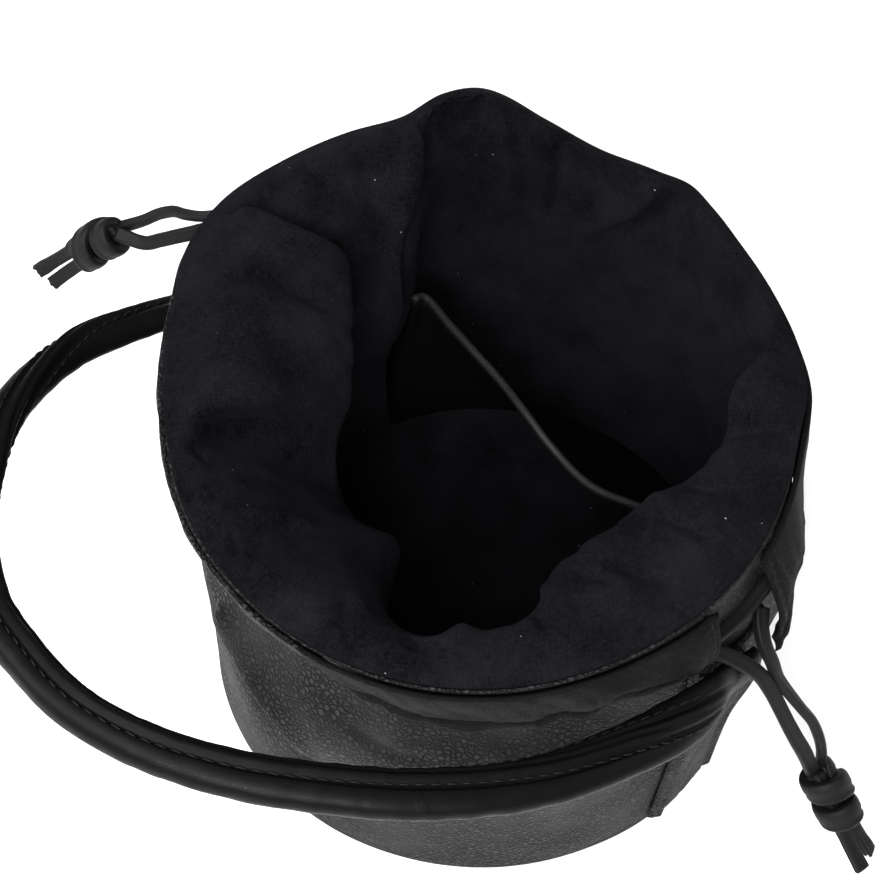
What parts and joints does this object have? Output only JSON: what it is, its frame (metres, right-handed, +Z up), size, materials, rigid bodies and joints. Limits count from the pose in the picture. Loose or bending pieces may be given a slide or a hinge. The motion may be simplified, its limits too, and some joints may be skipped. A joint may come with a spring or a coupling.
{
  "type": "drawstring handle pouch",
  "caption": "Soft leather bucket pouch with a fabric lining rolled over its open mouth, drawcords with knotted ends, an inner slip pocket and a rolled handle dropped to the front.",
  "frame": {"origin": "centre of the underside, on the surface that the pouch stands on", "axes": "+Z up; +X to the right and +Y to the back as the picture sees the pouch"},
  "size_m": [0.2518, 0.2117, 0.165],
  "materials": {
    "pebbled_leather": "black pebbled leather, soft sheen",
    "smooth_leather": "black smooth leather, semi gloss",
    "lace_leather": "black thin leather lace, satin",
    "lining_fabric": "black matte woven cotton"
  },
  "bodies": {
    "root": {"base_panel": "pebbled_leather", "body_shell": "pebbled_leather", "side_strip_right": "pebbled_leather", "side_strip_left": "pebbled_leather", "casing_front": "pebbled_leather", "casing_back": "pebbled_leather", "lining": "lining_fabric", "lining_base": "lining_fabric", "pocket_panel": "lining_fabric", "pocket_binding": "smooth_leather", "handle": "smooth_leather", "lace_right_front": "lace_leather", "lace_right_back": "lace_leather", "lace_left_front": "lace_leather", "lace_left_back": "lace_leather", "cord_run_right": "lace_leather", "cord_run_left": "lace_leather", "knot_right": "lace_leather", "knot_left": "lace_leather", "tail_right_front": "lace_leather", "tail_right_back": "lace_leather", "tail_left_front": "lace_leather", "tail_left_back": "lace_leather"}
  },
  "joints": []
}
